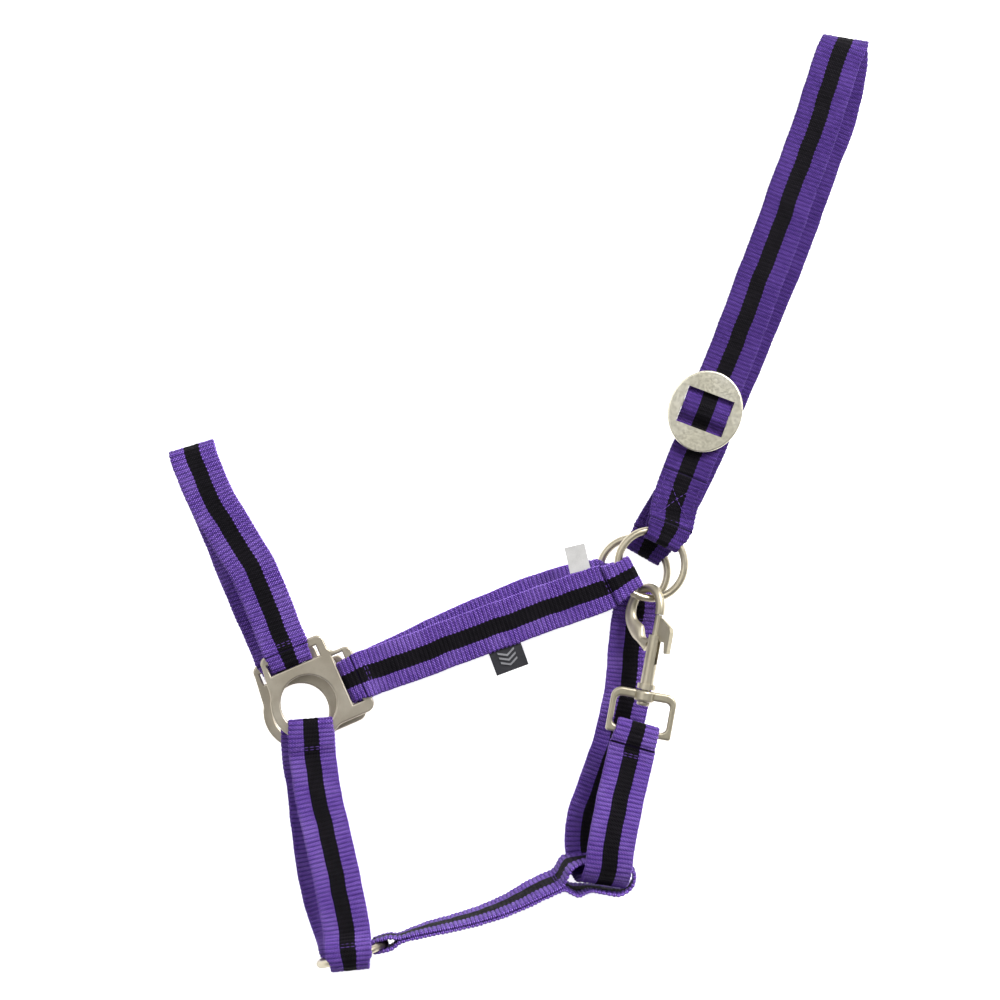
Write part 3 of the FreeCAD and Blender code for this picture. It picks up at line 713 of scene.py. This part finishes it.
def all_stitching():
    """Cross rows on both faces of the straps, and box seams on the crown."""
    for name, (start, end) in CROSS_ROWS.items():
        belt = BELTS[name]
        lines = cross_rows(*start) + cross_rows(belt.line.length - end[0], end[1])
        stitching(name + "_top", belt, lines)
        stitching(name + "_back", belt, lines, -1)
    crown = BELTS["crown_strap"]
    size = crown.line.length
    stitching("crown_near", crown, box_x(14.5, 38.0, 9.8))
    stitching("crown_far", crown, box_x(size - 40.0, size - 15.0, 9.8), -1)


all_stitching()

# ------------------------------------------------------------------- labels


TAG_AT = 86.0
LABEL_GRID = 12
LABEL_HALF = 0.12


def cloth_label(name, s, offset, long, wide, turn, look):
    """A thin woven label in the near cheek strap's seam, gently bowed."""
    line = BELTS["near_cheek_strap"].line
    place, tangent, across, normal = (Vector(v) for v in line.frames(s))
    points, faces = [], []
    n, row = LABEL_GRID, LABEL_GRID + 1
    a = math.radians(turn)
    for face in (1, -1):
        for i in range(row):
            for j in range(row):
                u, v = (i / n - 0.5) * long, (j / n - 0.5) * wide
                rise = 0.25 * math.sin(math.pi * j / n) + face * LABEL_HALF
                x, y = u * math.cos(a) - v * math.sin(a), u * math.sin(a) + v * math.cos(a)
                points.append(place + tangent * x + across * (y + offset) + normal * rise)
    size = row * row
    for face in (0, 1):
        for i in range(n):
            for j in range(n):
                k = face * size + i * row + j
                quad = (k, k + row, k + row + 1, k + 1)
                faces.append(quad if face else quad[::-1])
    rim = [i * row for i in range(row)] + [n * row + j for j in range(1, row)]
    rim += [i * row + n for i in reversed(range(n))] + list(range(n - 1, 0, -1))
    for p, q in zip(rim, rim[1:] + rim[:1]):
        faces.append((p, q, q + size, p + size))
    piece = make("cloth_" + name, points, faces, [look], smooth=False)
    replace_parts(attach(piece, "straps"), name)


cloth_label("size_label", 139.0, 19.3, 11.0, 14.0, -8, LABEL)
cloth_label("woven_tag", TAG_AT, -17.9, 18.0, 14.0, 0, TAG)


def tag_motif():
    """A plain pattern woven into the tag: three nested chevrons."""
    line = BELTS["near_cheek_strap"].line
    place, tangent, across, normal = (Vector(v) for v in line.frames(TAG_AT))
    arm, fall, thick, pitch, lowest = 4.6, 2.4, 1.1, 2.6, -22.2
    rings = ((0, 2, 4, 6), (7, 5, 3, 1), (0, 1, 3, 2), (2, 3, 5, 4), (4, 5, 7, 6), (6, 7, 1, 0))
    points, faces = [], []
    for k in range(3):
        tip = lowest + pitch * k
        for way in (1, -1):
            base = len(points)
            end = (way * arm, tip + fall)
            for x, y in ((0, tip), end, (end[0], end[1] + thick), (0, tip + thick)):
                for lift in (-0.2, 0.5):
                    points.append(place + tangent * x + across * y - normal * lift)
            for ring in rings:
                faces.append([base + i for i in (ring if way == 1 else ring[::-1])])
    piece = make("tag_motif", points, faces, [TAG_MARK], smooth=False)
    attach(piece, "straps")


tag_motif()

# ---------------------------------------------------------- crown bight

FIT = 0.3
SLIDE_FOOT = CROWN_Z + FLAT + THICK + 0.6
SLIDE_THICK = 2.6
BIGHT_ROWS = 46
BIGHT_REACH = 13.0
BAR_HALF = 1.6


def strip_mesh(name, path, half, purple, rib=0.2):
    """A short run of webbing along a path of (point, across) rows, in millimetres."""
    points, faces, slots, web = [], [], [], []
    side = STRIPE / HALF
    lanes = [-1.0, -0.97, -0.78, -0.56, -side, -0.11, 0.11, side, 0.56, 0.78, 0.97, 1.0]
    n = len(path)
    where = [p for p, _ in path]
    at = [0.0]
    for a, b in zip(where, where[1:]):
        at.append(at[-1] + (b - a).length)
    for i, (p, across) in enumerate(path):
        tangent = (where[min(i + 1, n - 1)] - where[max(i - 1, 0)]).normalized()
        normal = across.cross(tangent)
        ripple = abs(math.sin(math.pi * at[i] / PITCH))
        for face in (1, -1):
            for v in lanes[::face]:
                drop = 0.5 if abs(v) > 0.99 else 0.0
                off = face * (THICK / 2 - 0.1 - drop + rib * ripple)
                points.append(p + across * (v * (half + 0.2 * ripple)) + normal * off)
    m = 2 * len(lanes)
    full = lanes + lanes[::-1]
    for i in range(n - 1):
        for j in range(m):
            k = (j + 1) % m
            faces.append((i * m + j, (i + 1) * m + j, (i + 1) * m + k, i * m + k))
            slots.append(int(abs(full[j] + full[k]) / 2 < side))
            web += [(at[i], full[j] * HALF), (at[i + 1], full[j] * HALF),
                    (at[i + 1], full[k] * HALF), (at[i], full[k] * HALF)]
    for start in (0, (n - 1) * m):
        ring = list(range(start, start + m))
        faces.append(ring if start else ring[::-1])
        slots.append(0)
        web += [(0.0, v * HALF) for v in full]
    return make(name, points, faces, [purple, BLACK], slots, web)


def bight():
    """The rise of webbing over the slide's bar."""
    low = CROWN_Z + FLAT + FIT + THICK / 2
    high = SLIDE_FOOT + SLIDE_THICK + FIT + THICK / 2
    a = math.radians(SLIDE_TURN)
    across = Vector((math.cos(a), math.sin(a), 0))
    path = []
    for k in range(-BIGHT_ROWS, BIGHT_ROWS + 1):
        s = BIGHT_REACH * k / BIGHT_ROWS
        f = min(1.0, max(0.0, (abs(s) - BAR_HALF) / 7.2))
        z = high + (low - high) * f * f * (3 - 2 * f)
        path.append((Vector((*rail(s), z)), across))
    return strip_mesh("web_crown_bight", path, 12.4, CROWN_PURPLE)


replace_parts(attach(bight(), "slide"), "crown_bight")

# ---------------------------------------------------------- bolt spring

SNAP = (66.2, -97.8, 24.3)
SNAP_TURN = math.radians(-10.3)
SPRING_FOOT = 4.2
SPRING_HEAD = 16.7
SPRING_TURNS = 9


def on_snap(v, u, w):
    """A place from the snap's own axes: v across, u along the barrel, w up."""
    return Vector((SNAP[0] + v * math.cos(SNAP_TURN) - u * math.sin(SNAP_TURN),
                   SNAP[1] + v * math.sin(SNAP_TURN) + u * math.cos(SNAP_TURN), SNAP[2] + w))


def coil_spring():
    """The coil under the bolt, made at rest: the real coil closes up as the bolt is drawn, this mesh does
    not.
    """
    coil_r, wire_r, around, sides = 1.35, 0.2, 20, 6
    first, last = SPRING_FOOT + 0.25, SPRING_HEAD - 0.25
    count = SPRING_TURNS * around
    points, faces = [], []
    for k in range(count + 1):
        a = math.tau * k / around
        u = first + (last - first) * k / count
        for q in range(sides):
            b = math.tau * q / sides
            r = coil_r + wire_r * math.cos(b)
            points.append(on_snap(r * math.cos(a), u + wire_r * math.sin(b), r * math.sin(a)))
    for k in range(count):
        for q in range(sides):
            here, beside = k * sides + q, k * sides + (q + 1) % sides
            faces.append((here, beside, beside + sides, here + sides))
    faces.append(list(range(sides - 1, -1, -1)))
    faces.append([count * sides + q for q in range(sides)])
    piece = make("coil_spring", points, faces, [SPRING])
    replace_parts(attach(piece, "snap"), "bolt_spring")
    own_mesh(piece)


coil_spring()

# -------------------------------------------------------------- hardware

METALS = {
    "near_plate": CAST,
    "far_plate": CAST,
    "crown_slide": SLIDE_METAL,
    "near_ring": WIRE,
    "far_ring": WIRE,
    "lead_ring": WIRE,
    "bolt_spring": SPRING,
}

for name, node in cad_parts.items():
    if node.hide_render:
        continue
    node.data.materials.clear()
    node.data.materials.append(METALS.get(name, SNAP_METAL))

# ----------------------------------------------------------------- stage


def floor():
    """A plain white table that gives off some light of its own, as in a studio."""
    reach = 6.0
    mesh = bpy.data.meshes.new("floor")
    corners = [(-reach, -reach, 0), (reach, -reach, 0), (reach, reach, 0), (-reach, reach, 0)]
    mesh.from_pydata(corners, [], [(0, 1, 2, 3)])
    m = Nodes("floor_white")
    m.shader.inputs["Base Color"].default_value = (0.9, 0.9, 0.9, 1)
    m.shader.inputs["Roughness"].default_value = 0.9
    m.shader.inputs["Specular IOR Level"].default_value = 0.0
    m.shader.inputs["Emission Color"].default_value = (1, 1, 1, 1)
    m.shader.inputs["Emission Strength"].default_value = 0.85
    mesh.materials.append(m.material)
    obj = bpy.data.objects.new("floor", mesh)
    bpy.context.scene.collection.objects.link(obj)


def lamp(name, place, size, power):
    """A square or oblong lamp aimed at the middle of the table."""
    data = bpy.data.lights.new(name, "AREA")
    data.shape, data.size, data.size_y, data.energy = "RECTANGLE", size[0], size[1], power
    obj = bpy.data.objects.new(name, data)
    obj.location = place
    obj.rotation_euler = (-Vector(place)).to_track_quat("-Z", "Y").to_euler()
    bpy.context.scene.collection.objects.link(obj)


def surroundings():
    """Even white light from all round, shown without a film look."""
    world = bpy.data.worlds.new("studio")
    world.use_nodes = True
    background = world.node_tree.nodes["Background"]
    background.inputs[0].default_value = (1, 1, 1, 1)
    background.inputs[1].default_value = 0.3
    bpy.context.scene.world = world
    bpy.context.scene.view_settings.view_transform = "Standard"


def camera():
    """Looks straight down on the head collar."""
    data = bpy.data.cameras.new("camera")
    data.lens, data.sensor_width = 135.0, 36.0
    obj = bpy.data.objects.new("camera", data)
    obj.location = (-0.0106, 0.0019, 2.0)
    obj.rotation_euler = (0, 0, 0)
    bpy.context.scene.collection.objects.link(obj)
    bpy.context.scene.camera = obj


floor()
lamp("key", (0.95, 1.0, 1.2), (0.8, 0.6), 42)
lamp("fill", (-0.9, 0.6, 1.5), (1.6, 1.6), 12)
surroundings()
camera()
